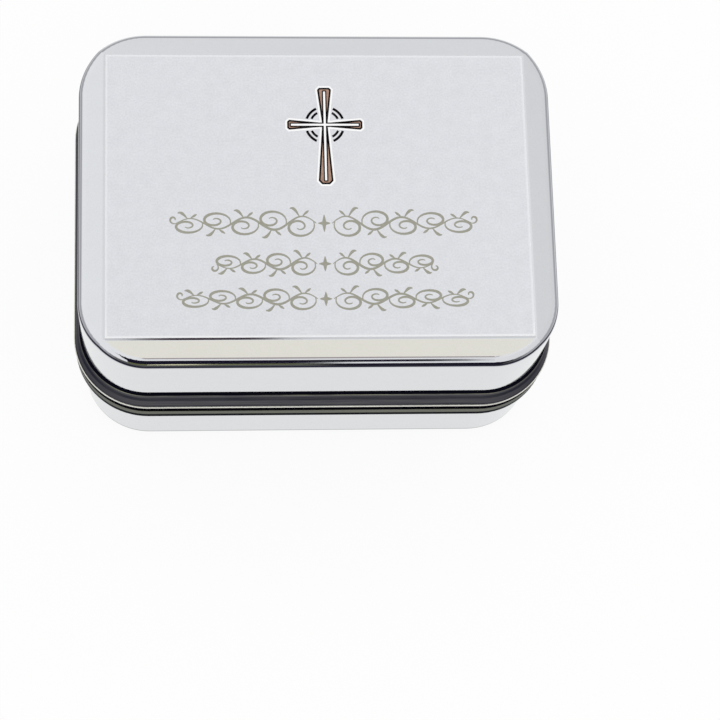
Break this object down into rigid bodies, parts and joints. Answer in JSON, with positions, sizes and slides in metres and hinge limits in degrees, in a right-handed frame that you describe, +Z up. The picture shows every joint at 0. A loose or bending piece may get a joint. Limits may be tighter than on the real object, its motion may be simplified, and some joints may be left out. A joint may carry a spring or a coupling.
{
  "type": "rosary box",
  "caption": "Small hinged metal keepsake box with rounded corners, a bevelled lid, dark bands round both mouths and a velvet-lined tray.",
  "frame": {"origin": "centre of the flat underside, on the surface that the box stands on", "axes": "+Z up through the lid, +X along the long front, +Y towards the hinge at the back"},
  "size_m": [0.093, 0.0698, 0.05],
  "materials": {
    "silver_plate": "polished silver plate, satin on the lid's flat panel",
    "black_nickel": "dark nickel, soft sheen",
    "nickel": "plain nickel plate",
    "velvet": "short-pile velvet",
    "felt": "pressed felt"
  },
  "bodies": {
    "base": {"base_shell": "silver_plate", "base_band": "black_nickel", "tray_walls": "velvet", "tray_pad": "velvet", "underside_felt": "felt", "hinge_base_leaf": "nickel", "hinge_pin": "nickel"},
    "lid": {"lid_shell": "silver_plate", "lid_band": "black_nickel", "lid_liner": "velvet", "lid_pad": "velvet", "hinge_lid_leaf": "nickel"}
  },
  "joints": [
    {"name": "lid_hinge", "type": "hinge", "parent": "base", "child": "lid", "pos_m": [0, 0.0337, 0.0233], "axis": [-1, 0, 0], "range_deg": [0, 100]}
  ]
}
